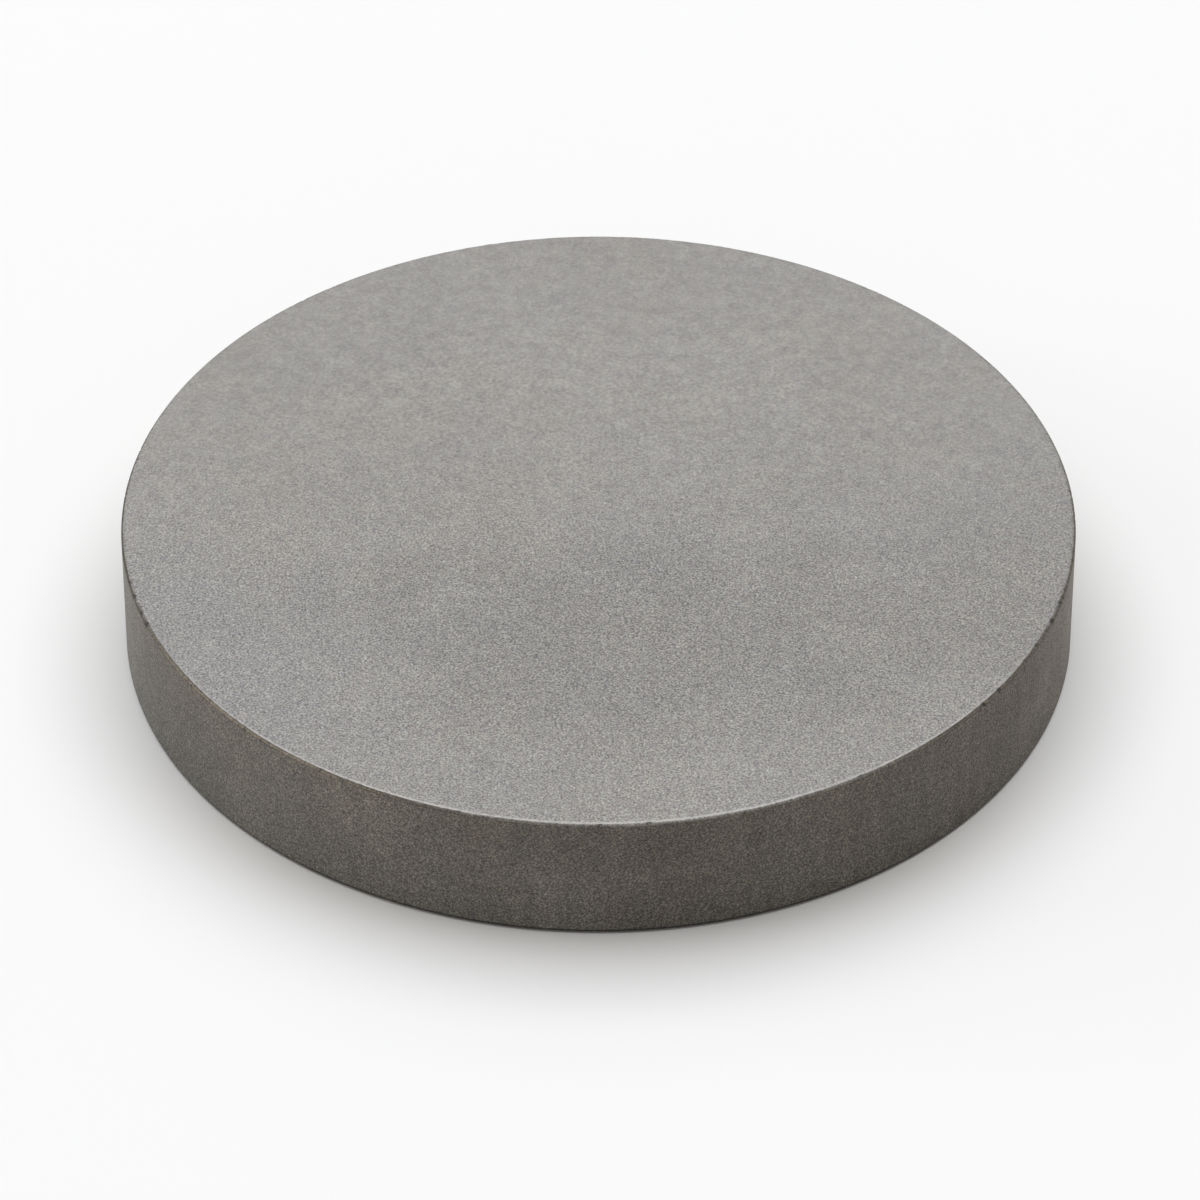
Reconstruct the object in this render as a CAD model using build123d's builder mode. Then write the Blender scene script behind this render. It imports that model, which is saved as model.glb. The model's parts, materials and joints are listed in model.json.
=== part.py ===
from build123d import *
import os

# Planar sputtering target: one solid disc of sintered metal, ground on both faces and round its rim.
# The disc lies face up on its bonding face. The origin is the centre of that face, and +Z is the disc's axis.
# All lengths are in millimetres.

# Driving dimensions
disc_diameter = 50.8
disc_thickness = 7.3
front_edge_break = 0.15
back_edge_break = 0.15

# The target: the blank is a plain cylinder, and both arrises of its rim are broken at 45 degrees,
# so that the front edge doesn't arc and the back edge seats in a cathode's recess.
with BuildPart() as target_disc:
    with BuildSketch(Plane.XY) as bonding_face:
        Circle(radius=disc_diameter / 2)
    extrude(amount=disc_thickness)
    rim_edges = target_disc.edges().filter_by(GeomType.CIRCLE).sort_by(Axis.Z)
    chamfer(rim_edges[-1], length=front_edge_break)
    chamfer(rim_edges[0], length=back_edge_break)

target_disc.part.label = "target_disc"

os.makedirs("parts", exist_ok=True)
export_step(target_disc.part, "parts/target_disc.step")
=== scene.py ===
import json
import math
import random

import bpy
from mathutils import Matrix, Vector
from mathutils.kdtree import KDTree


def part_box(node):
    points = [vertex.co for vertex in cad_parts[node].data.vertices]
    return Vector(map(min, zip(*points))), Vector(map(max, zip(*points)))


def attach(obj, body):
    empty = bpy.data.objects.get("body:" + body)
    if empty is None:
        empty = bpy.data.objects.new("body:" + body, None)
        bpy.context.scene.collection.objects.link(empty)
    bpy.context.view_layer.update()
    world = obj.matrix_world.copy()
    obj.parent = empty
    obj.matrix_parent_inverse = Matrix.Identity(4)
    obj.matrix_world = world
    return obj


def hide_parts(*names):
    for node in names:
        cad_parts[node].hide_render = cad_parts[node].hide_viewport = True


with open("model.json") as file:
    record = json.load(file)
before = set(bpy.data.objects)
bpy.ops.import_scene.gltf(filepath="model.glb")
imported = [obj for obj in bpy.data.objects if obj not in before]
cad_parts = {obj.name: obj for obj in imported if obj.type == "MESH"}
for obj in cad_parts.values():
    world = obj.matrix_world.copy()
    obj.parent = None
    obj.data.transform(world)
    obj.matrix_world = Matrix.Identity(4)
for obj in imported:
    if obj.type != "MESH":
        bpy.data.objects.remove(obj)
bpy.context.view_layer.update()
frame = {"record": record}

# Sizes in metres, worked out from the solid disc and its rim's straight length
NODE = "target_disc"
MILLIMETRE = 0.001
low_corner, high_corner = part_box(NODE)
radius = (high_corner.x - low_corner.x) / 2
thickness = high_corner.z - low_corner.z
rim_mount = next(m for m in frame["record"]["mounts"] if m["name"] == "rim")
edge_break = (thickness - rim_mount["dims"]["length_mm"] * MILLIMETRE) / 2

# The photograph's camera, with distances as shares of the disc's radius
VIEW_ELEVATION = math.radians(39.0)
VIEW_DISTANCE = 15.162 * radius
LENS_MM = 214.3
SENSOR_MM = 36.0
PHOTO_SIDE = 1200
AIM_PIXEL = (598.5, 621.2)


def deselect_all():
    """Leaves nothing selected, because an operator acts on all that is."""
    bpy.ops.object.select_all(action="DESELECT")


# Camera
def add_camera():
    """Looks along +Y and down at the centre of the disc's base."""
    deselect_all()
    bpy.ops.object.camera_add(
        location=(0, -VIEW_DISTANCE * math.cos(VIEW_ELEVATION), VIEW_DISTANCE * math.sin(VIEW_ELEVATION)),
        rotation=(math.pi / 2 - VIEW_ELEVATION, 0, 0),
    )
    camera = bpy.context.object
    camera.name = "camera"
    camera.data.lens = LENS_MM
    camera.data.sensor_width = SENSOR_MM
    camera.data.shift_x = (PHOTO_SIDE / 2 - AIM_PIXEL[0]) / PHOTO_SIDE
    camera.data.shift_y = (AIM_PIXEL[1] - PHOTO_SIDE / 2) / PHOTO_SIDE
    camera.data.clip_start = 0.01
    bpy.context.scene.camera = camera


# Node helpers
def new_material(name):
    """An empty material with its output and one Principled shader joined."""
    material = bpy.data.materials.new(name)
    material.use_nodes = True
    nodes = material.node_tree.nodes
    nodes.clear()
    output = nodes.new("ShaderNodeOutputMaterial")
    shader = nodes.new("ShaderNodeBsdfPrincipled")
    material.node_tree.links.new(shader.outputs["BSDF"], output.inputs["Surface"])
    return material, shader


def new_group(name, inputs, outputs):
    """A node group with named sockets. Each entry is a name, a socket type and, for inputs, a value."""
    group = bpy.data.node_groups.new(name, "ShaderNodeTree")
    for socket_name, kind, value in inputs:
        socket = group.interface.new_socket(name=socket_name, in_out="INPUT", socket_type=kind)
        if value is not None:
            socket.default_value = value
    for socket_name, kind in outputs:
        group.interface.new_socket(name=socket_name, in_out="OUTPUT", socket_type=kind)
    start = group.nodes.new("NodeGroupInput")
    end = group.nodes.new("NodeGroupOutput")
    return group, start, end


def feed(tree, socket, value):
    """Joins a socket to an output, or writes a plain value on it."""
    if isinstance(value, bpy.types.NodeSocket):
        tree.links.new(value, socket)
    elif value is not None:
        socket.default_value = value


def maths(tree, operation, first, second=None, third=None, clamp=False):
    """One Math node."""
    node = tree.nodes.new("ShaderNodeMath")
    node.operation = operation
    node.use_clamp = clamp
    for socket, value in zip(node.inputs, (first, second, third)):
        feed(tree, socket, value)
    return node.outputs[0]


def vector_maths(tree, operation, first, second=None, result="Vector"):
    """One Vector Math node."""
    node = tree.nodes.new("ShaderNodeVectorMath")
    node.operation = operation
    for socket, value in zip(node.inputs, (first, second)):
        feed(tree, socket, value)
    return node.outputs[result]


def smooth_ramp(tree, value, start, end):
    """0 at start and 1 at end, eased at both ends. The two may fall as well as rise."""
    node = tree.nodes.new("ShaderNodeMapRange")
    node.interpolation_type = "SMOOTHSTEP"
    feed(tree, node.inputs["Value"], value)
    feed(tree, node.inputs["From Min"], start)
    feed(tree, node.inputs["From Max"], end)
    return node.outputs["Result"]


def noise(tree, vector, scale, detail=0.0, roughness=0.5, w=None, result="Fac"):
    """One Noise Texture, read as a value, or three as a colour, that lie mostly between 0.3 and 0.7."""
    node = tree.nodes.new("ShaderNodeTexNoise")
    node.noise_dimensions = "3D" if w is None else "4D"
    feed(tree, node.inputs["Vector"], vector)
    feed(tree, node.inputs["Scale"], scale)
    feed(tree, node.inputs["Detail"], detail)
    feed(tree, node.inputs["Roughness"], roughness)
    if w is not None:
        feed(tree, node.inputs["W"], w)
    return node.outputs[result]


def mixed(tree, share, first, second):
    """One Mix node for colours."""
    node = tree.nodes.new("ShaderNodeMix")
    node.data_type = "RGBA"
    feed(tree, node.inputs[0], share)
    feed(tree, node.inputs[6], first)
    feed(tree, node.inputs[7], second)
    return node.outputs[2]


def scaled_colour(tree, colour, factor):
    """A colour times a value."""
    node = tree.nodes.new("ShaderNodeVectorMath")
    node.operation = "SCALE"
    feed(tree, node.inputs[0], colour)
    feed(tree, node.inputs["Scale"], factor)
    return node.outputs[0]


def placed(tree, group, **values):
    """One copy of a node group, with its sockets set by name."""
    node = tree.nodes.new("ShaderNodeGroup")
    node.node_tree = group
    for name, value in values.items():
        feed(tree, node.inputs[name], value)
    return node


def object_place(tree):
    """The place on the piece, in metres in the disc's own frame."""
    return tree.nodes.new("ShaderNodeTexCoord").outputs["Object"]


def axis_share(tree, place, axis, length):
    """The place along one axis, as a share of a length."""
    apart = tree.nodes.new("ShaderNodeSeparateXYZ")
    feed(tree, apart.inputs[0], place)
    return maths(tree, "DIVIDE", apart.outputs[axis], length)


# Node groups
POWDER_GRAIN = 0.095 * MILLIMETRE
GRIT_GRAIN = 0.2 * MILLIMETRE
CLOT_GRAIN = 0.75 * MILLIMETRE
GRAIN_TURN = (0.6, 0.8, 0.4)
SPECK_TINT = (0.98, 1.02, 0.92)
SPECK_HUES = 0.22
HUES_OFFSET = (0.2, 0.4, 0.1)
BROAD_BLOTCH = 9 * MILLIMETRE
SMALL_BLOTCH = 1.3 * MILLIMETRE
WARM_BLOTCH = 6 * MILLIMETRE
WARMTH_OFFSET = (0.3, 0.1, 0.2)
PATCH_WANDER = 4 * MILLIMETRE
WEAR_GAPS = 0.3 * MILLIMETRE


def sintered_grain():
    """Ground powder grain: light specks between dark pits, of slightly varied hues, with fainter clots."""
    group, start, end = new_group(
        "Sintered Grain",
        [
            ("Place", "NodeSocketVector", None),
            ("Powder", "NodeSocketFloat", 1.0),
            ("Grit", "NodeSocketFloat", 0.5),
            ("Clots", "NodeSocketFloat", 0.15),
            ("Sparkle", "NodeSocketFloat", 0.2),
        ],
        [("Tint", "NodeSocketVector"), ("Height", "NodeSocketFloat")],
    )
    turned = group.nodes.new("ShaderNodeVectorRotate")
    turned.rotation_type = "EULER_XYZ"
    turned.inputs["Rotation"].default_value = GRAIN_TURN
    group.links.new(start.outputs["Place"], turned.inputs["Vector"])
    place = turned.outputs["Vector"]
    powder = noise(group, place, 1 / POWDER_GRAIN)
    grit = noise(group, place, 1 / GRIT_GRAIN)
    clots = noise(group, place, 1 / CLOT_GRAIN, detail=2.0, roughness=0.7)
    swing = 0.0
    for name, grains in (("Powder", powder), ("Grit", grit), ("Clots", clots)):
        either_side = maths(group, "SUBTRACT", grains, 0.5)
        swing = maths(group, "MULTIPLY_ADD", either_side, start.outputs[name], swing)
    sparkle = maths(group, "MULTIPLY_ADD", swing, start.outputs["Sparkle"], 1.0)
    tinted = scaled_colour(group, SPECK_TINT, maths(group, "MULTIPLY", swing, sparkle))
    hues = noise(group, vector_maths(group, "ADD", place, HUES_OFFSET), 1 / POWDER_GRAIN, result="Color")
    hues = scaled_colour(group, vector_maths(group, "SUBTRACT", hues, (0.5, 0.5, 0.5)), SPECK_HUES)
    tint = vector_maths(group, "ADD", tinted, hues)
    group.links.new(vector_maths(group, "ADD", tint, (1, 1, 1)), end.inputs["Tint"])
    group.links.new(powder, end.inputs["Height"])
    return group


def cloudy_tone():
    """Broad blotches left by pressing and grinding, a few millimetres across."""
    group, start, end = new_group(
        "Cloudy Tone",
        [("Place", "NodeSocketVector", None), ("Contrast", "NodeSocketFloat", 1.0)],
        [("Tone", "NodeSocketFloat"), ("Warmth", "NodeSocketFloat")],
    )
    place = start.outputs["Place"]
    broad = noise(group, place, 1 / BROAD_BLOTCH, detail=4.0, roughness=0.6)
    small = noise(group, place, 1 / SMALL_BLOTCH, detail=2.0, roughness=0.5)
    both = maths(group, "MULTIPLY_ADD", small, 0.4, maths(group, "MULTIPLY", broad, 0.6))
    swing = maths(group, "SUBTRACT", both, 0.5)
    tone = maths(group, "MULTIPLY_ADD", swing, start.outputs["Contrast"], 1.0)
    aside = vector_maths(group, "ADD", place, WARMTH_OFFSET)
    warmth = noise(group, aside, 1 / WARM_BLOTCH, detail=3.0, roughness=0.55)
    group.links.new(tone, end.inputs["Tone"])
    group.links.new(smooth_ramp(group, warmth, 0.3, 0.7), end.inputs["Warmth"])
    return group


def soft_patch():
    """One faint blotch: 1 at its centre, 0 past its reach, with a wandering outline."""
    group, start, end = new_group(
        "Soft Patch",
        [
            ("Place", "NodeSocketVector", None),
            ("Centre", "NodeSocketVector", None),
            ("Reach", "NodeSocketVector", None),
        ],
        [("Mask", "NodeSocketFloat")],
    )
    place = start.outputs["Place"]
    drift = noise(group, place, 1 / PATCH_WANDER, detail=2.0)
    away = vector_maths(group, "SUBTRACT", place, start.outputs["Centre"])
    share = vector_maths(group, "DIVIDE", away, start.outputs["Reach"])
    distance = vector_maths(group, "LENGTH", share, result="Value")
    wandering = maths(group, "ADD", distance, maths(group, "SUBTRACT", drift, 0.5))
    group.links.new(smooth_ramp(group, wandering, 1.0, 0.2), end.inputs["Mask"])
    return group


def arris_wear_and_highlight():
    """The bright arris, partly worn and partly a painted highlight: full at the front, gone at the back,
    broken by the grain; and its burrs, painted bright as glints.
    """
    group, start, end = new_group(
        "Arris Wear And Highlight",
        [
            ("Place", "NodeSocketVector", None),
            ("Worn", "NodeSocketFloat", 0.0),
            ("Burred", "NodeSocketFloat", 0.0),
        ],
        [("Mask", "NodeSocketFloat")],
    )
    place = start.outputs["Place"]
    towards_front = smooth_ramp(group, axis_share(group, place, "Y", radius), -0.2, -0.95)
    ragged = noise(group, place, 1 / WEAR_GAPS, detail=2.0)
    unbroken = maths(group, "MULTIPLY_ADD", smooth_ramp(group, ragged, 0.35, 0.55), 0.5, 0.5)
    line = maths(group, "MULTIPLY", start.outputs["Worn"], towards_front)
    line = maths(group, "MULTIPLY", line, unbroken)
    group.links.new(maths(group, "ADD", line, start.outputs["Burred"], clamp=True), end.inputs["Mask"])
    return group


def lathe_lines():
    """Fine lines that run round the disc, closely spaced across an edge break."""
    group, start, end = new_group(
        "Lathe Lines",
        [
            ("Place", "NodeSocketVector", None),
            ("Line Spacing", "NodeSocketFloat", 0.05 * MILLIMETRE),
            ("Line Length", "NodeSocketFloat", 2 * MILLIMETRE),
        ],
        [("Tone", "NodeSocketFloat")],
    )
    place = start.outputs["Place"]
    apart = group.nodes.new("ShaderNodeSeparateXYZ")
    group.links.new(place, apart.inputs[0])
    flat = vector_maths(group, "MULTIPLY", place, (1, 1, 0))
    from_axis = vector_maths(group, "LENGTH", flat, result="Value")
    long_way = vector_maths(group, "DIVIDE", flat, start.outputs["Line Length"])
    long_apart = group.nodes.new("ShaderNodeSeparateXYZ")
    group.links.new(long_way, long_apart.inputs[0])
    joined = group.nodes.new("ShaderNodeCombineXYZ")
    group.links.new(long_apart.outputs["X"], joined.inputs["X"])
    group.links.new(long_apart.outputs["Y"], joined.inputs["Y"])
    group.links.new(maths(group, "DIVIDE", from_axis, start.outputs["Line Spacing"]), joined.inputs["Z"])
    height_share = maths(group, "DIVIDE", apart.outputs["Z"], start.outputs["Line Spacing"])
    lines = noise(group, joined.outputs[0], 1.0, detail=1.0, w=height_share)
    group.links.new(smooth_ramp(group, lines, 0.3, 0.7), end.inputs["Tone"])
    return group


GRAIN = sintered_grain()
CLOUD = cloudy_tone()
PATCH = soft_patch()
WEAR_AND_HIGHLIGHT = arris_wear_and_highlight()
LINES = lathe_lines()

# Finishes
FACE_WARM = (0.301, 0.288, 0.271, 1.0)
FACE_COOL = (0.2905, 0.284, 0.2785, 1.0)
# The wall's colours are darker and browner than the face's; the darkness is partly painted shade
WALL_WARM = (0.225, 0.197, 0.164, 1.0)
WALL_COOL = (0.204, 0.195, 0.174, 1.0)
# The edge break's dark colour is partly painted shade
BREAK_DARK = (0.085, 0.077, 0.066, 1.0)
BREAK_TAN = (0.215, 0.184, 0.142, 1.0)
BREAK_BACK = (0.25, 0.24, 0.226, 1.0)
# Painted shade for the floors of the chips
CHIP_SHADE_COLOUR = (0.055, 0.048, 0.04, 1.0)
SOIL_COLOUR = (0.135, 0.122, 0.102, 1.0)
# Partly the colour of worn metal and partly a painted highlight, for the arris, its burrs and the front of
# the edge break
WORN_AND_HIGHLIGHT_COLOUR = (0.52, 0.505, 0.485, 1.0)
METALLIC = 0.35
FACE_ROUGHNESS = 0.62
RIM_ROUGHNESS = 0.66
BREAK_ROUGHNESS = 0.6
GRAIN_DEPTH = 0.006 * MILLIMETRE
CHIP_GRAIN = 0.12 * MILLIMETRE
STREAK_WIDTH = 0.8 * MILLIMETRE
STREAK_STRETCH = (1, 1, 0.12)
RIM_CLOUD_STRETCH = (1, 1, 0.35)
SOIL_START = 0.045 * MILLIMETRE
SOIL_FULL = 0.02 * MILLIMETRE

# Soft patches, each with its centre and its reach in shares of the disc's radius
FACE_BAND = ((0.08, -0.41, 0), (0.95, 0.5, 9))
FACE_GRIT = ((0, 0.3, 0), (1.3, 0.5, 9))
FACE_RIGHT_EDGE = ((0.85, -0.1, 0), (0.5, 0.6, 9))
FACE_COOL_PATCH = ((-0.9, -0.5, 0), (0.65, 0.5, 9))
FACE_WARM_PATCH = ((-0.5, 0.15, 0), (0.6, 0.75, 9))
BREAK_TAN_PATCH = ((-0.74, -0.67, 0.28), (0.5, 0.5, 9))
# Painted shade at the left flank of the edge break
BREAK_LEFT_SHADE = ((-1, -0.05, 0.28), (0.4, 0.6, 9))
# A bright rub at the front of the edge break, partly wear and partly a painted highlight
BREAK_FRONT_RUB_AND_HIGHLIGHT = ((0.14, -0.99, 0.28), (0.62, 0.5, 9))

# The wall's plain tone, and patches that are darker or lighter by the last value; the patches are partly
# the wall's mottling and partly painted shade and light
RIM_TONE = 0.967
RIM_PATCHES = (
    ((0.62, -0.79, 0.14), (0.95, 0.95, 9), -0.205),
    ((0.0, -0.99, 0.26), (0.42, 0.4, 0.12), -0.14),
    ((-0.86, -0.5, 0.14), (0.2, 0.32, 9), -0.125),
    ((0.9, -0.44, 0.26), (0.4, 0.35, 0.25), -0.1),
    ((-0.1, -0.99, 0.11), (0.055, 0.5, 0.2), 0.14),
    ((-0.5, -0.87, 0.22), (0.13, 0.3, 0.12), 0.12),
)


def add_bump(material, shader, height):
    """Feeds the shader's normal from a height."""
    tree = material.node_tree
    bump = tree.nodes.new("ShaderNodeBump")
    bump.inputs["Strength"].default_value = 1.0
    bump.inputs["Distance"].default_value = GRAIN_DEPTH
    feed(tree, bump.inputs["Height"], height)
    feed(tree, shader.inputs["Normal"], bump.outputs["Normal"])


def attribute_value(tree, name):
    """A value stored on the piece's points."""
    node = tree.nodes.new("ShaderNodeAttribute")
    node.attribute_type = "GEOMETRY"
    node.attribute_name = name
    return node.outputs["Fac"]


def patch_mask(tree, place, centre, reach):
    """One soft patch, with its centre and reach in shares of the disc's radius."""
    return placed(
        tree,
        PATCH,
        Place=place,
        Centre=[share * radius for share in centre],
        Reach=[share * radius for share in reach],
    ).outputs["Mask"]


def wear_and_highlight_mask(tree, place):
    """Where the front arris is bright, partly worn and partly a painted highlight, with burrs painted
    bright as glints, from what is stored on the piece's points.
    """
    wear_and_highlight = attribute_value(tree, "wear_and_highlight")
    burred = attribute_value(tree, "burred")
    return placed(tree, WEAR_AND_HIGHLIGHT, Place=place, Worn=wear_and_highlight, Burred=burred).outputs["Mask"]


def chip_shaded_colour(tree, place, colour):
    """The colour with painted shade in the floors of the chips, in ragged outlines."""
    ragged = smooth_ramp(tree, noise(tree, place, 1 / CHIP_GRAIN, detail=1.0), 0.36, 0.5)
    shaded_floors = maths(tree, "MULTIPLY", attribute_value(tree, "chipped"), ragged)
    return mixed(tree, shaded_floors, colour, CHIP_SHADE_COLOUR)


def ground_face():
    """The flat faces: pale warm-grey metal, finely grained, with a darker band across the front half."""
    material, shader = new_material("ground_face")
    tree = material.node_tree
    place = object_place(tree)
    towards_back = axis_share(tree, place, "Y", radius)

    # Grain: strongest in the dark band, and smoother towards the back
    smoother = smooth_ramp(tree, towards_back, -0.25, 0.5)
    band = patch_mask(tree, place, *FACE_BAND)
    powder = maths(tree, "MULTIPLY_ADD", smoother, -1.35, maths(tree, "MULTIPLY_ADD", band, 0.28, 1.65))
    grit = maths(tree, "MULTIPLY_ADD", patch_mask(tree, place, *FACE_GRIT), 0.22, 0.28)
    clots = maths(tree, "MULTIPLY_ADD", smoother, 0.3, 0.25)
    grain = placed(tree, GRAIN, Place=place, Powder=powder, Grit=grit, Clots=clots)

    # Broad tone
    cloud = placed(tree, CLOUD, Place=place, Contrast=0.28)
    right_edge = patch_mask(tree, place, *FACE_RIGHT_EDGE)
    lighter = maths(tree, "MULTIPLY_ADD", smooth_ramp(tree, towards_back, -0.25, 0.45), 0.05, 1.0)
    shaded = maths(tree, "MULTIPLY_ADD", band, -0.135, lighter)
    shaded = maths(tree, "MULTIPLY_ADD", right_edge, -0.07, shaded)
    tone = maths(tree, "MULTIPLY", cloud.outputs["Tone"], shaded)

    # Broad colour
    cool_patch = patch_mask(tree, place, *FACE_COOL_PATCH)
    warm_patch = patch_mask(tree, place, *FACE_WARM_PATCH)
    warmth = maths(tree, "MULTIPLY_ADD", cloud.outputs["Warmth"], 0.5, 0.3)
    warmth = maths(tree, "MULTIPLY_ADD", warm_patch, 0.25, warmth)
    warmth = maths(tree, "MULTIPLY_ADD", cool_patch, -0.8, warmth, clamp=True)
    metal = scaled_colour(tree, mixed(tree, warmth, FACE_COOL, FACE_WARM), tone)

    # Soiled close to the arris, at both sides
    flat = vector_maths(tree, "MULTIPLY", place, (1, 1, 0))
    from_axis = vector_maths(tree, "LENGTH", flat, result="Value")
    in_from_edge = maths(tree, "SUBTRACT", radius - edge_break, from_axis)
    soiled = smooth_ramp(tree, in_from_edge, SOIL_START, SOIL_FULL)
    soiled = maths(tree, "MULTIPLY", soiled, smooth_ramp(tree, towards_back, -0.8, -0.5))
    soiled = maths(tree, "MULTIPLY", soiled, smooth_ramp(tree, towards_back, 0.1, -0.15))
    grained = vector_maths(tree, "MULTIPLY", metal, grain.outputs["Tint"])
    colour = chip_shaded_colour(tree, place, mixed(tree, soiled, grained, SOIL_COLOUR))
    # The bright arris: partly wear, partly a painted highlight
    feed(tree, shader.inputs["Base Color"], mixed(tree, wear_and_highlight_mask(tree, place), colour, WORN_AND_HIGHLIGHT_COLOUR))
    feed(tree, shader.inputs["Roughness"], FACE_ROUGHNESS)
    feed(tree, shader.inputs["Metallic"], METALLIC)
    add_bump(material, shader, grain.outputs["Height"])
    return material


def ground_rim():
    """The wall: the same metal, darker partly by painted shade, browner towards the front face, with faint
    upright streaks.
    """
    material, shader = new_material("ground_rim")
    tree = material.node_tree
    place = object_place(tree)
    up_wall = axis_share(tree, place, "Z", thickness)
    to_right = axis_share(tree, place, "X", radius)
    powder = maths(tree, "MULTIPLY_ADD", to_right, 0.2, 2.25)
    grain = placed(tree, GRAIN, Place=place, Powder=powder, Grit=0.2, Clots=0.45, Sparkle=0.4)

    # Broad tone, patches of mottling and of painted shade and light, streaks, and a painted contact shadow
    # along the foot of the front
    upright = vector_maths(tree, "MULTIPLY", place, RIM_CLOUD_STRETCH)
    cloud = placed(tree, CLOUD, Place=upright, Contrast=0.55)
    stretched = vector_maths(tree, "MULTIPLY", place, STREAK_STRETCH)
    streaks = noise(tree, stretched, 1 / STREAK_WIDTH, detail=3.0, roughness=0.7)
    shaded = RIM_TONE
    # The patches are partly mottling and partly painted shade and light
    for centre, reach, change in RIM_PATCHES:
        shaded = maths(tree, "MULTIPLY_ADD", patch_mask(tree, place, centre, reach), change, shaded)
    streak_depth = maths(tree, "MULTIPLY_ADD", to_right, 0.12, 0.34)
    streaked = maths(tree, "MULTIPLY_ADD", maths(tree, "SUBTRACT", streaks, 0.5), streak_depth, shaded)
    # Painted contact shadow: a dark line along the foot of the front
    at_front = smooth_ramp(tree, axis_share(tree, place, "Y", radius), -0.45, -0.9)
    foot = smooth_ramp(tree, axis_share(tree, place, "Z", edge_break), 2.0, 1.6)
    painted_foot_shadow = maths(tree, "MULTIPLY_ADD", maths(tree, "MULTIPLY", foot, at_front), -0.7, 1.0)
    tone = maths(tree, "MULTIPLY", painted_foot_shadow, maths(tree, "MULTIPLY", cloud.outputs["Tone"], streaked))

    # Broad colour
    warmth = maths(tree, "MULTIPLY_ADD", up_wall, 0.5, maths(tree, "MULTIPLY_ADD", to_right, 0.3, 0.2))
    warmth = maths(tree, "MULTIPLY_ADD", cloud.outputs["Warmth"], 0.45, warmth, clamp=True)
    metal = scaled_colour(tree, mixed(tree, warmth, WALL_COOL, WALL_WARM), tone)
    colour = chip_shaded_colour(tree, place, vector_maths(tree, "MULTIPLY", metal, grain.outputs["Tint"]))
    feed(tree, shader.inputs["Base Color"], colour)
    feed(tree, shader.inputs["Roughness"], RIM_ROUGHNESS)
    feed(tree, shader.inputs["Metallic"], METALLIC)
    add_bump(material, shader, grain.outputs["Height"])
    return material


def broken_edge():
    """The edge breaks: dark, partly by painted shade, with fine tan lines round the disc and a bright
    arris, partly worn and partly a painted highlight.
    """
    material, shader = new_material("broken_edge")
    tree = material.node_tree
    place = object_place(tree)
    towards_back = axis_share(tree, place, "Y", radius)
    lines = placed(tree, LINES, Place=place)
    grain = placed(tree, GRAIN, Place=place, Powder=1.4, Grit=0.6, Clots=0.5)

    # Tan lines, the plainest at the left of the front
    drop = maths(tree, "SUBTRACT", thickness / edge_break, axis_share(tree, place, "Z", edge_break))
    lower = smooth_ramp(tree, drop, 0.3, 0.8)
    tan_patch = patch_mask(tree, place, *BREAK_TAN_PATCH)
    tan_lines = maths(tree, "MULTIPLY", lines.outputs["Tone"], 0.4)
    tan_share = maths(tree, "MULTIPLY_ADD", lower, 0.25, tan_lines)
    middle = maths(tree, "MULTIPLY", smooth_ramp(tree, drop, 0.25, 0.5), smooth_ramp(tree, drop, 1.0, 0.7))
    left_line = maths(tree, "MULTIPLY", middle, tan_patch)
    tan_share = maths(tree, "MULTIPLY_ADD", left_line, 0.85, tan_share, clamp=True)
    banded = mixed(tree, tan_share, BREAK_DARK, BREAK_TAN)

    # Paler at the back and in its upper half, darker at the left with painted shade, and bright at the very
    # front, partly rubbed and partly a painted highlight
    banded = mixed(tree, smooth_ramp(tree, towards_back, 0.0, 0.4), banded, BREAK_BACK)
    # Painted shade on the left flank
    left_shade = patch_mask(tree, place, *BREAK_LEFT_SHADE)
    banded = scaled_colour(tree, banded, maths(tree, "MULTIPLY_ADD", left_shade, -0.35, 1.0))
    upper = smooth_ramp(tree, drop, 0.6, 0.3)
    pale_upper = maths(tree, "MULTIPLY", upper, smooth_ramp(tree, towards_back, -0.55, -0.1))
    banded = mixed(tree, pale_upper, banded, FACE_WARM)
    # Bright at the front: partly rubbed, partly a painted highlight
    front_rub_and_highlight = patch_mask(tree, place, *BREAK_FRONT_RUB_AND_HIGHLIGHT)
    rubbed_and_lit = maths(tree, "MULTIPLY", smooth_ramp(tree, drop, 0.6, 0.1), 0.8)
    rubbed_and_lit = maths(tree, "MULTIPLY_ADD", smooth_ramp(tree, drop, 1.3, 0.5), 0.22, rubbed_and_lit)
    banded = mixed(tree, maths(tree, "MULTIPLY", front_rub_and_highlight, rubbed_and_lit), banded, WORN_AND_HIGHLIGHT_COLOUR)

    colour = chip_shaded_colour(tree, place, vector_maths(tree, "MULTIPLY", banded, grain.outputs["Tint"]))
    # The bright arris: partly wear, partly a painted highlight
    feed(tree, shader.inputs["Base Color"], mixed(tree, wear_and_highlight_mask(tree, place), colour, WORN_AND_HIGHLIGHT_COLOUR))
    feed(tree, shader.inputs["Roughness"], BREAK_ROUGHNESS)
    feed(tree, shader.inputs["Metallic"], METALLIC)
    add_bump(material, shader, lines.outputs["Tone"])
    return material


# The disc
ROUND_STEPS = 2048
ARRIS_ROUND = 0.025 * MILLIMETRE
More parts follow.
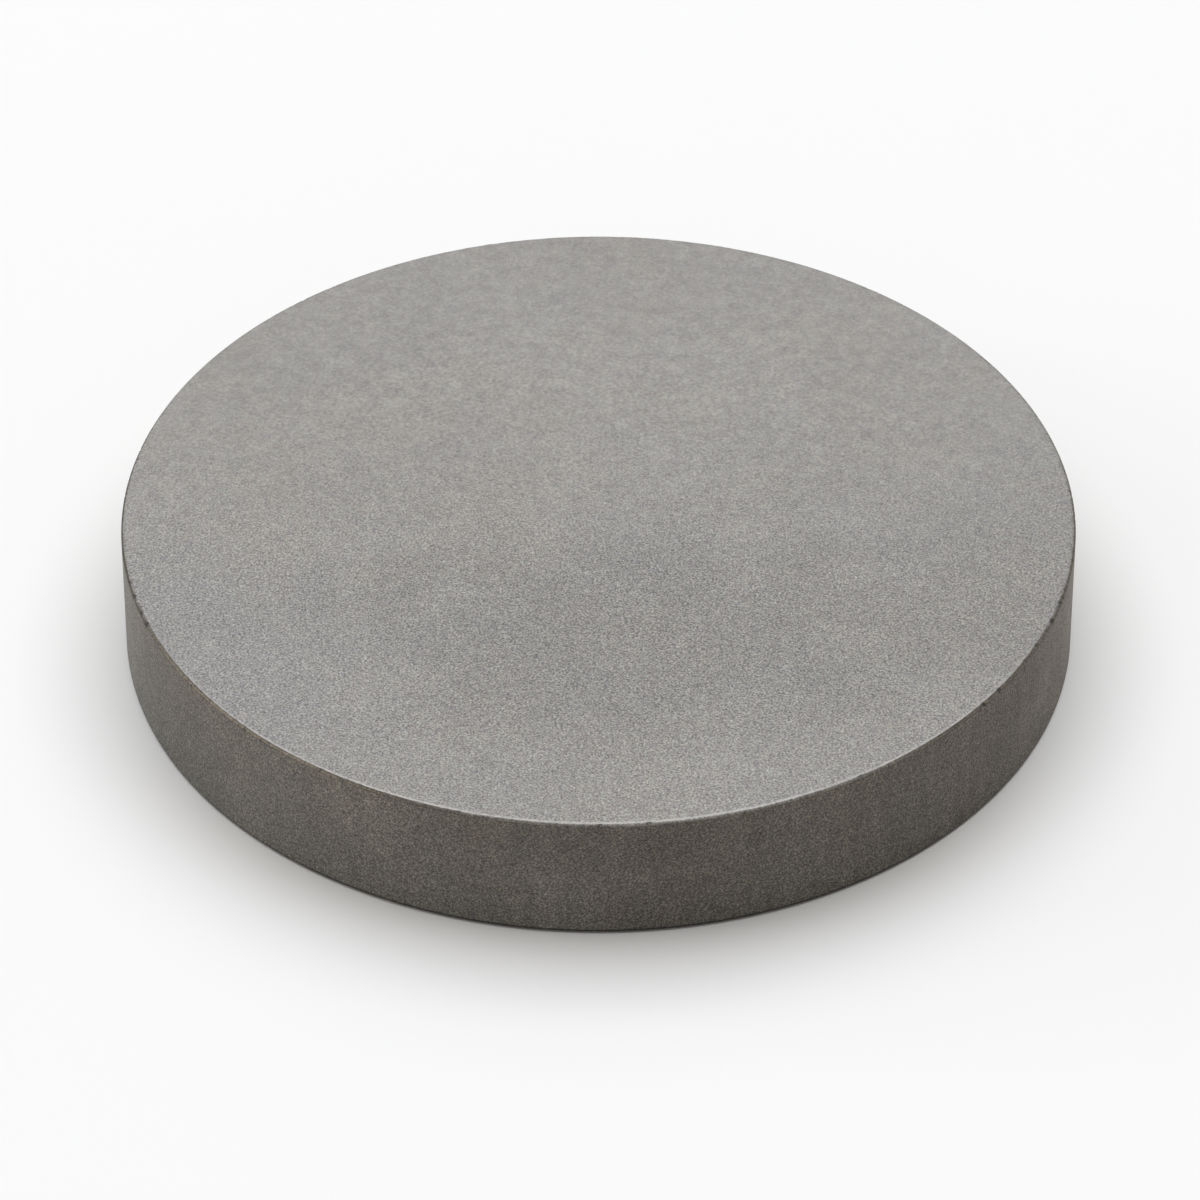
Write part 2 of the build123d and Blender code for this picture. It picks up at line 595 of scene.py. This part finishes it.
# Width of the bright arris band, partly wear and partly a painted highlight
WEAR_AND_HIGHLIGHT_WIDTH = 0.14 * MILLIMETRE
FACE_LOOP_STEPS = (0.05 * MILLIMETRE, 0.07 * MILLIMETRE, 0.13 * MILLIMETRE, 0.3 * MILLIMETRE)
EDGE_LOOP_DROPS = (0.05 * MILLIMETRE, 0.1 * MILLIMETRE)
WALL_LOOP_DROPS = (0.2 * MILLIMETRE, 0.28 * MILLIMETRE, 0.4 * MILLIMETRE, 0.8 * MILLIMETRE)
FOOT_LOOP_HEIGHT = 0.3 * MILLIMETRE
LIP_WIDTH = 0.12 * MILLIMETRE
FINE_WANDER = (0.22 * MILLIMETRE, 0.028 * MILLIMETRE)
SLOW_WANDER = (1.1 * MILLIMETRE, 0.02 * MILLIMETRE)

# Chips in the front edge, as seen in the photograph.
# Each has its angle round the disc, its drop below the face, its reach and its depth.
CHIPS = (
    (192.8, 0.09 * MILLIMETRE, 0.2 * MILLIMETRE, 0.07 * MILLIMETRE),
    (195.6, 0.1 * MILLIMETRE, 0.25 * MILLIMETRE, 0.1 * MILLIMETRE),
    (199.0, 0.12 * MILLIMETRE, 0.21 * MILLIMETRE, 0.08 * MILLIMETRE),
    (201.2, 0.08 * MILLIMETRE, 0.25 * MILLIMETRE, 0.1 * MILLIMETRE),
    (236.0, 0.06 * MILLIMETRE, 0.18 * MILLIMETRE, 0.05 * MILLIMETRE),
    (270.2, 0.05 * MILLIMETRE, 0.16 * MILLIMETRE, 0.04 * MILLIMETRE),
    (275.9, 0.06 * MILLIMETRE, 0.2 * MILLIMETRE, 0.05 * MILLIMETRE),
    (321.7, 0.08 * MILLIMETRE, 0.24 * MILLIMETRE, 0.07 * MILLIMETRE),
    (324.9, 0.1 * MILLIMETRE, 0.24 * MILLIMETRE, 0.07 * MILLIMETRE),
    (330.7, 0.34 * MILLIMETRE, 0.2 * MILLIMETRE, 0.06 * MILLIMETRE),
    (331.2, 0.06 * MILLIMETRE, 0.16 * MILLIMETRE, 0.04 * MILLIMETRE),
    (334.4, 0.07 * MILLIMETRE, 0.18 * MILLIMETRE, 0.05 * MILLIMETRE),
    (339.4, 0.1 * MILLIMETRE, 0.26 * MILLIMETRE, 0.08 * MILLIMETRE),
    (343.1, 0.08 * MILLIMETRE, 0.24 * MILLIMETRE, 0.08 * MILLIMETRE),
    (344.2, 0.12 * MILLIMETRE, 0.2 * MILLIMETRE, 0.06 * MILLIMETRE),
)
SMALL_CHIPS = 46
SMALL_CHIP_SEED = 5
# How far the painted shade in a chip's floor reaches, and how it fades, in shares of the chip's reach
CHIP_FLOOR = 0.75
CHIP_FLOOR_FADE = 0.3

# Burrs on the front arris, painted bright as glints, each with its angle and its reach
BURRS = ((196.8, 0.1 * MILLIMETRE), (273.9, 0.13 * MILLIMETRE))


def select_in_edit(piece, kind, test):
    """In edit mode, selects only the verts, edges or faces that pass the test."""
    bpy.ops.mesh.select_mode(type=kind)
    bpy.ops.mesh.select_all(action="DESELECT")
    bpy.ops.object.mode_set(mode="OBJECT")
    items = {"VERT": piece.data.vertices, "EDGE": piece.data.edges, "FACE": piece.data.polygons}[kind]
    for item in items:
        item.select = test(item)
    bpy.ops.object.mode_set(mode="EDIT")


def edge_middle(piece, edge):
    """The middle of an edge."""
    first, second = (piece.data.vertices[i].co for i in edge.vertices)
    return (first + second) / 2


def edge_rise(piece, edge):
    """How far one end of an edge lies above the other."""
    first, second = (piece.data.vertices[i].co for i in edge.vertices)
    return abs(first.z - second.z)


def chip_rows():
    """The chips of the photograph, and a scatter of small ones round the whole edge."""
    scatter = random.Random(SMALL_CHIP_SEED)
    rows = list(CHIPS)
    for _ in range(SMALL_CHIPS):
        angle = scatter.uniform(0, 360)
        drop = scatter.uniform(0.03, 0.16) * MILLIMETRE
        reach = scatter.uniform(0.1, 0.17) * MILLIMETRE
        rows.append((angle, drop, reach, reach * scatter.uniform(0.2, 0.35)))
    return rows


def chip_centre(angle, drop):
    """A chip's middle, on the edge break or on the wall below it."""
    turn = math.radians(angle)
    from_axis = radius - max(edge_break - drop, 0)
    return Vector((from_axis * math.cos(turn), from_axis * math.sin(turn), thickness - drop))


def from_front_arris(place):
    """How far a place lies from the corner between the front face and its edge break."""
    across = math.hypot(place.x, place.y) - (radius - edge_break)
    return math.hypot(across, place.z - thickness)


def store_on_points(piece, name, values):
    """Keeps one value for each point, for the materials to read."""
    attribute = piece.data.attributes.new(name, "FLOAT", "POINT")
    attribute.data.foreach_set("value", values)


def cut_loops(heights):
    """In edit mode, cuts a loop round the disc at each height."""
    for height in heights:
        bpy.ops.mesh.select_all(action="SELECT")
        bpy.ops.mesh.bisect(plane_co=(0, 0, height), plane_no=(0, 0, 1))


def push_in(piece, index, centre, reach, depth):
    """In edit mode, draws the surface round one point inwards and down, as a chip does."""
    bpy.ops.mesh.select_mode(type="VERT")
    bpy.ops.mesh.select_all(action="DESELECT")
    bpy.ops.object.mode_set(mode="OBJECT")
    piece.data.vertices[index].select = True
    bpy.ops.object.mode_set(mode="EDIT")
    outwards = Vector((centre.x, centre.y, 0)).normalized()
    move = (outwards * -0.8 + Vector((0, 0, -0.6))) * depth
    bpy.ops.transform.translate(
        value=move,
        use_proportional_edit=True,
        proportional_edit_falloff="SMOOTH",
        proportional_size=reach,
    )


def roughen(piece, name, size, depth):
    """Wanders the lip inwards by up to the depth, in waves of about the size."""
    texture = bpy.data.textures.new(name, "CLOUDS")
    texture.noise_scale = size
    texture.noise_depth = 1
    modifier = piece.modifiers.new(name, "DISPLACE")
    modifier.texture = texture
    modifier.texture_coords = "LOCAL"
    modifier.vertex_group = "lip"
    modifier.mid_level = 1.0
    modifier.strength = depth
    bpy.ops.object.modifier_apply(modifier=name)


def target_disc_piece():
    """A turned blank whose arrises are broken and rounded, with chips where the photograph shows them."""
    deselect_all()
    bpy.ops.mesh.primitive_cylinder_add(
        vertices=ROUND_STEPS,
        radius=radius,
        depth=thickness,
        location=(0, 0, thickness / 2),
        end_fill_type="NGON",
    )
    piece = bpy.context.object
    piece.name = "ground_target"
    bpy.ops.object.transform_apply(location=True, rotation=False, scale=False)

    # Both arrises broken at 45 degrees, then every corner of the profile lightly rounded
    bpy.ops.object.mode_set(mode="EDIT")
    select_in_edit(piece, "EDGE", lambda e: abs(edge_middle(piece, e).z - thickness / 2) > thickness * 0.4)
    bpy.ops.mesh.bevel(offset=edge_break, offset_type="OFFSET", segments=1, affect="EDGES")
    select_in_edit(piece, "EDGE", lambda e: edge_rise(piece, e) < edge_break * 0.1)
    bpy.ops.mesh.bevel(offset=ARRIS_ROUND, offset_type="OFFSET", segments=3, affect="EDGES")

    # Loops near the front edge, close enough together to carry the chips
    cut_loops([thickness - drop for drop in EDGE_LOOP_DROPS + WALL_LOOP_DROPS])
    cut_loops([FOOT_LOOP_HEIGHT])
    face_height = thickness - ARRIS_ROUND * 0.1
    select_in_edit(piece, "FACE", lambda f: f.center.z > face_height and len(f.vertices) > 4)
    for step in FACE_LOOP_STEPS:
        bpy.ops.mesh.inset(thickness=step, depth=0)
    bpy.ops.object.mode_set(mode="OBJECT")

    for finish in (ground_face(), ground_rim(), broken_edge()):
        piece.data.materials.append(finish)
    bpy.ops.object.mode_set(mode="EDIT")
    finish_of = (
        (1, lambda f: abs(f.normal.z) < 0.1),
        (2, lambda f: 0.1 <= abs(f.normal.z) < 0.99),
    )
    for slot, test in finish_of:
        select_in_edit(piece, "FACE", test)
        piece.active_material_index = slot
        bpy.ops.object.material_slot_assign()
    bpy.ops.object.mode_set(mode="OBJECT")

    # What the materials read from the points: the bright arris, partly worn and partly a painted highlight;
    # burrs, painted bright as glints; and chips, with painted shade in their floors
    points = KDTree(len(piece.data.vertices))
    for vertex in piece.data.vertices:
        points.insert(vertex.co, vertex.index)
    points.balance()
    # The bright arris band: partly wear, partly a painted highlight
    wear_and_highlight = [0.0] * len(piece.data.vertices)
    for vertex in piece.data.vertices:
        if thickness - vertex.co.z < ARRIS_ROUND * 0.4:
            away = from_front_arris(vertex.co)
            wear_and_highlight[vertex.index] = min(1.0, max(0.0, (WEAR_AND_HIGHLIGHT_WIDTH - away) / (WEAR_AND_HIGHLIGHT_WIDTH - ARRIS_ROUND)))
    burred = [0.0] * len(piece.data.vertices)
    for angle, reach in BURRS:
        for _, index, away in points.find_range(chip_centre(angle, 0), reach):
            burred[index] = 1 - away / reach
    chips = chip_rows()
    # Painted shade in the floors of the chips
    chipped = [0.0] * len(piece.data.vertices)
    for angle, drop, reach, _ in chips:
        for _, index, away in points.find_range(chip_centre(angle, drop), reach * CHIP_FLOOR):
            chipped[index] = max(chipped[index], min(1.0, (CHIP_FLOOR - away / reach) / CHIP_FLOOR_FADE))
    store_on_points(piece, "wear_and_highlight", wear_and_highlight)
    store_on_points(piece, "burred", burred)
    store_on_points(piece, "chipped", chipped)

    bpy.ops.object.mode_set(mode="EDIT")
    for angle, drop, reach, depth in chips:
        centre = chip_centre(angle, drop)
        push_in(piece, points.find(centre)[1], centre, reach, depth)
    bpy.ops.object.mode_set(mode="OBJECT")

    # The lip between the face and the edge break wanders a little
    lip = piece.vertex_groups.new(name="lip")
    for vertex in piece.data.vertices:
        away = from_front_arris(vertex.co)
        if away < LIP_WIDTH:
            lip.add([vertex.index], 1 - away / LIP_WIDTH, "REPLACE")
    roughen(piece, "fine_wander", *FINE_WANDER)
    roughen(piece, "slow_wander", *SLOW_WANDER)
    bpy.ops.object.shade_smooth()
    return piece


# Floor, lamps and world
# Painted shade: the sheet darkens from front to back
SHEET_FRONT = (0.965, 0.966, 0.967, 1.0)
SHEET_BACK = (0.925, 0.926, 0.927, 1.0)
# Painted bounce light: a warm tint on the sheet near the disc
SHEET_PAINTED_BOUNCE = (0.973, 0.96, 0.935, 1.0)
SHEET_FELT = (0.45, 0.45, 0.45, 1.0)
SHEET_SIDE = 6.0
WORLD_STRENGTH = 0.31


def add_floor():
    """A pale sheet under the disc. It shows white, and throws less light back on the disc than it shows."""
    deselect_all()
    bpy.ops.mesh.primitive_plane_add(size=SHEET_SIDE, location=(0, 0, 0))
    floor = bpy.context.object
    floor.name = "floor"
    material = bpy.data.materials.new("pale_floor")
    material.use_nodes = True
    tree = material.node_tree
    tree.nodes.clear()
    output = tree.nodes.new("ShaderNodeOutputMaterial")
    shown = tree.nodes.new("ShaderNodeBsdfDiffuse")
    place = object_place(tree)
    along = axis_share(tree, place, "Y", radius)
    # Painted shade: the sheet darkens towards the back
    sheet = mixed(tree, smooth_ramp(tree, along, -3.0, 3.0), SHEET_FRONT, SHEET_BACK)
    from_axis = maths(tree, "DIVIDE", vector_maths(tree, "LENGTH", place, result="Value"), radius)
    # Painted bounce light: a warm tint on the sheet just in front of the disc
    near_disc = smooth_ramp(tree, from_axis, 1.17, 1.0)
    painted_bounce = maths(tree, "MULTIPLY", near_disc, smooth_ramp(tree, along, -0.3, -0.8))
    sheet = mixed(tree, painted_bounce, sheet, SHEET_PAINTED_BOUNCE)
    tree.links.new(sheet, shown.inputs["Color"])
    felt = tree.nodes.new("ShaderNodeBsdfDiffuse")
    felt.inputs["Color"].default_value = SHEET_FELT
    path = tree.nodes.new("ShaderNodeLightPath")
    seen = maths(tree, "MAXIMUM", path.outputs["Is Camera Ray"], path.outputs["Is Glossy Ray"])
    seen = maths(tree, "MAXIMUM", seen, path.outputs["Is Transmission Ray"])
    either = tree.nodes.new("ShaderNodeMixShader")
    tree.links.new(seen, either.inputs["Fac"])
    tree.links.new(felt.outputs[0], either.inputs[1])
    tree.links.new(shown.outputs[0], either.inputs[2])
    tree.links.new(either.outputs[0], output.inputs["Surface"])
    floor.data.materials.append(material)


def add_softbox(name, place, aim, size, watts):
    """A rectangular lamp at a place, turned to face an aim."""
    deselect_all()
    bpy.ops.object.light_add(type="AREA", location=place)
    lamp = bpy.context.object
    lamp.name = name
    lamp.data.shape = "RECTANGLE"
    lamp.data.size = size[0]
    lamp.data.size_y = size[1]
    lamp.data.energy = watts
    lamp.rotation_euler = (Vector(aim) - Vector(place)).to_track_quat("-Z", "Y").to_euler()


def add_lights():
    """A broad lamp overhead, one behind, a low one at the left, and an even world that fills the rest."""
    add_softbox("overhead", place=(0, 0.5, 1.2), aim=(0, 0.5, 0), size=(2.0, 1.4), watts=17.2)
    add_softbox("back", place=(0, 1.3, 1.2), aim=(0, 0, 0), size=(1.6, 0.8), watts=3.0)
    add_softbox("left", place=(-1.6, 0.35, 0.3), aim=(0, 0, 0.1), size=(1.2, 0.6), watts=6.6)
    world = bpy.data.worlds.new("studio")
    bpy.context.scene.world = world
    world.use_nodes = True
    world.node_tree.nodes["Background"].inputs["Color"].default_value = (1, 1, 1, 1)
    world.node_tree.nodes["Background"].inputs["Strength"].default_value = WORLD_STRENGTH


add_camera()
add_floor()
add_lights()
disc = target_disc_piece()
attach(disc, "root")
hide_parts(NODE)
bpy.context.scene.view_settings.view_transform = "Standard"
